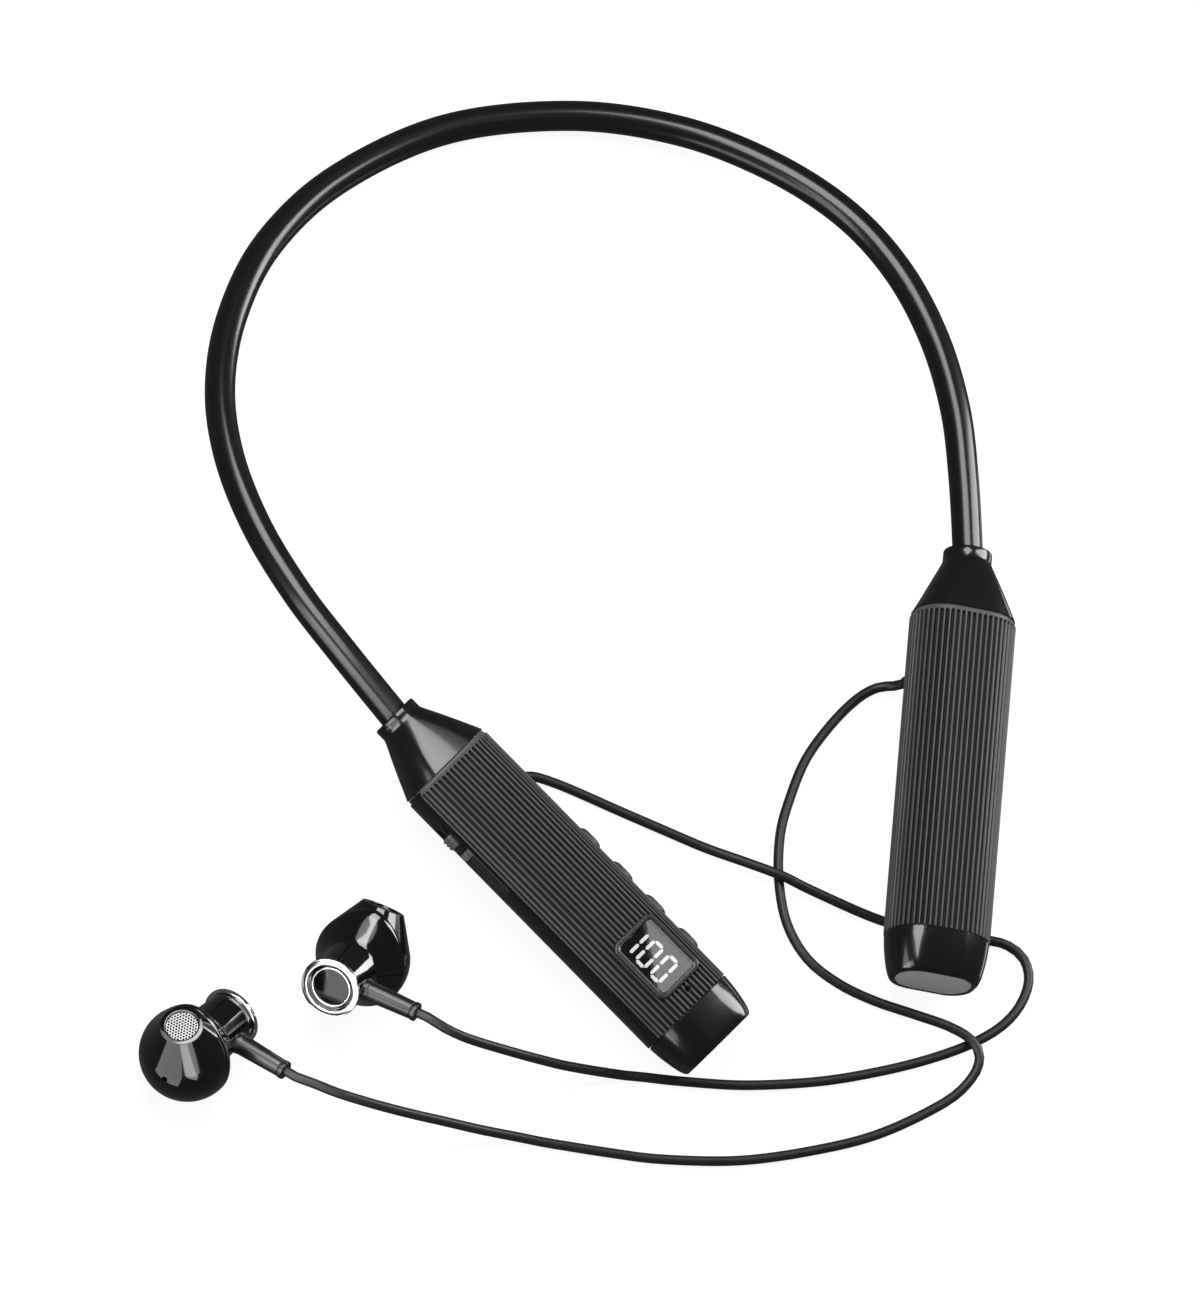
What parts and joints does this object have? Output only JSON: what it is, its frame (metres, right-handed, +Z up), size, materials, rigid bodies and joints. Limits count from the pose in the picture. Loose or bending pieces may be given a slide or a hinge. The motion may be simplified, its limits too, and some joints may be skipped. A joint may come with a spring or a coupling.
{
  "type": "neckband earphones",
  "caption": "Neckband earphones: a U-shaped band with ribbed battery and control pods at its ends, a small battery display, side buttons, and corded half-in-ear earbuds.",
  "frame": {"origin": "middle of the footprint of band, pods and earbuds, on the table that the neckband lies on", "axes": "+Z up from the table, +X to the wearer's right pod, +Y from the pods' tips towards the back of the band"},
  "size_m": [0.194, 0.2018, 0.0201],
  "materials": {
    "band_silicone": "gloss",
    "spring_steel": "plain",
    "wire_bundle": "matt",
    "gloss_black": "gloss",
    "ribbed_grey": "satin",
    "pale_plate": "satin",
    "grommet_rubber": "satin",
    "battery_foil": "foil",
    "circuit_board": "solder mask",
    "bezel_grey": "satin",
    "display_glass": "smoked",
    "display_white": "lit",
    "dark_module": "matt",
    "button_grey": "satin",
    "knob_grey": "satin",
    "steel_parts": "stamped",
    "flap_rubber": "matt",
    "tab_grey": "satin",
    "cord_rubber": "satin",
    "bud_black": "piano gloss",
    "grille_steel": "perforated",
    "chrome_ring": "polished",
    "magnet_steel": "nickel plated"
  },
  "bodies": {
    "neckband": {"band_tube": "band_silicone", "memory_wire": "spring_steel", "band_wires": "wire_bundle", "left_ferrule": "gloss_black", "left_front_shell": "ribbed_grey", "left_back_shell": "gloss_black", "left_end_cap": "gloss_black", "left_end_plate": "pale_plate", "left_cord_grommet": "grommet_rubber", "left_battery": "battery_foil", "left_circuit_board": "circuit_board", "right_ferrule": "gloss_black", "right_front_shell": "ribbed_grey", "right_back_shell": "gloss_black", "right_end_cap": "gloss_black", "right_end_plate": "pale_plate", "right_cord_grommet": "grommet_rubber", "right_battery": "battery_foil", "right_circuit_board": "circuit_board", "display_bezel": "bezel_grey", "display_window": "display_glass", "display_digits": "display_white", "display_module": "dark_module", "microphone": "steel_parts", "tact_switches": "dark_module", "power_switch_housing": "steel_parts", "usb_socket": "steel_parts", "left_cord": "cord_rubber", "right_cord": "cord_rubber", "left_bud_front": "bud_black", "left_bud_grille": "grille_steel", "left_bud_rear": "bud_black", "left_bud_end_ring": "chrome_ring", "left_bud_inner_ring": "chrome_ring", "left_bud_end_disc": "bud_black", "left_bud_stem": "grommet_rubber", "left_bud_driver": "dark_module", "left_bud_magnet": "magnet_steel", "right_bud_front": "bud_black", "right_bud_grille": "grille_steel", "right_bud_rear": "bud_black", "right_bud_end_ring": "chrome_ring", "right_bud_inner_ring": "chrome_ring", "right_bud_end_disc": "bud_black", "right_bud_stem": "grommet_rubber", "right_bud_driver": "dark_module", "right_bud_magnet": "magnet_steel"},
    "volume_up_button": {"volume_up_button": "button_grey"},
    "play_button": {"play_button": "button_grey"},
    "volume_down_button": {"volume_down_button": "button_grey"},
    "mode_button": {"mode_button": "button_grey"},
    "power_switch": {"power_switch_knob": "knob_grey"},
    "port_cover": {"port_flap": "flap_rubber", "port_flap_tab": "tab_grey"}
  },
  "joints": [
    {"name": "volume_up_press", "type": "slide", "parent": "neckband", "child": "volume_up_button", "axis": [-0.8973, -0.44, -0.0362], "range_m": [0, 0.00035], "stiffness_N_per_m": 500},
    {"name": "play_press", "type": "slide", "parent": "neckband", "child": "play_button", "axis": [-0.8973, -0.44, -0.0362], "range_m": [0, 0.00035], "stiffness_N_per_m": 500},
    {"name": "volume_down_press", "type": "slide", "parent": "neckband", "child": "volume_down_button", "axis": [-0.8973, -0.44, -0.0362], "range_m": [0, 0.00035], "stiffness_N_per_m": 500},
    {"name": "mode_press", "type": "slide", "parent": "neckband", "child": "mode_button", "axis": [-0.8973, -0.44, -0.0362], "range_m": [0, 0.00035], "stiffness_N_per_m": 500},
    {"name": "power_switch_slide", "type": "slide", "parent": "neckband", "child": "power_switch", "axis": [-0.4415, 0.8942, 0.0735], "range_m": [0, 0.0024]},
    {"name": "port_cover_hinge", "type": "hinge", "parent": "neckband", "child": "port_cover", "pos_m": [-0.02176, -0.05222, 0.01078], "axis": [0, -0.0819, 0.9966], "range_deg": [0, 100]}
  ]
}
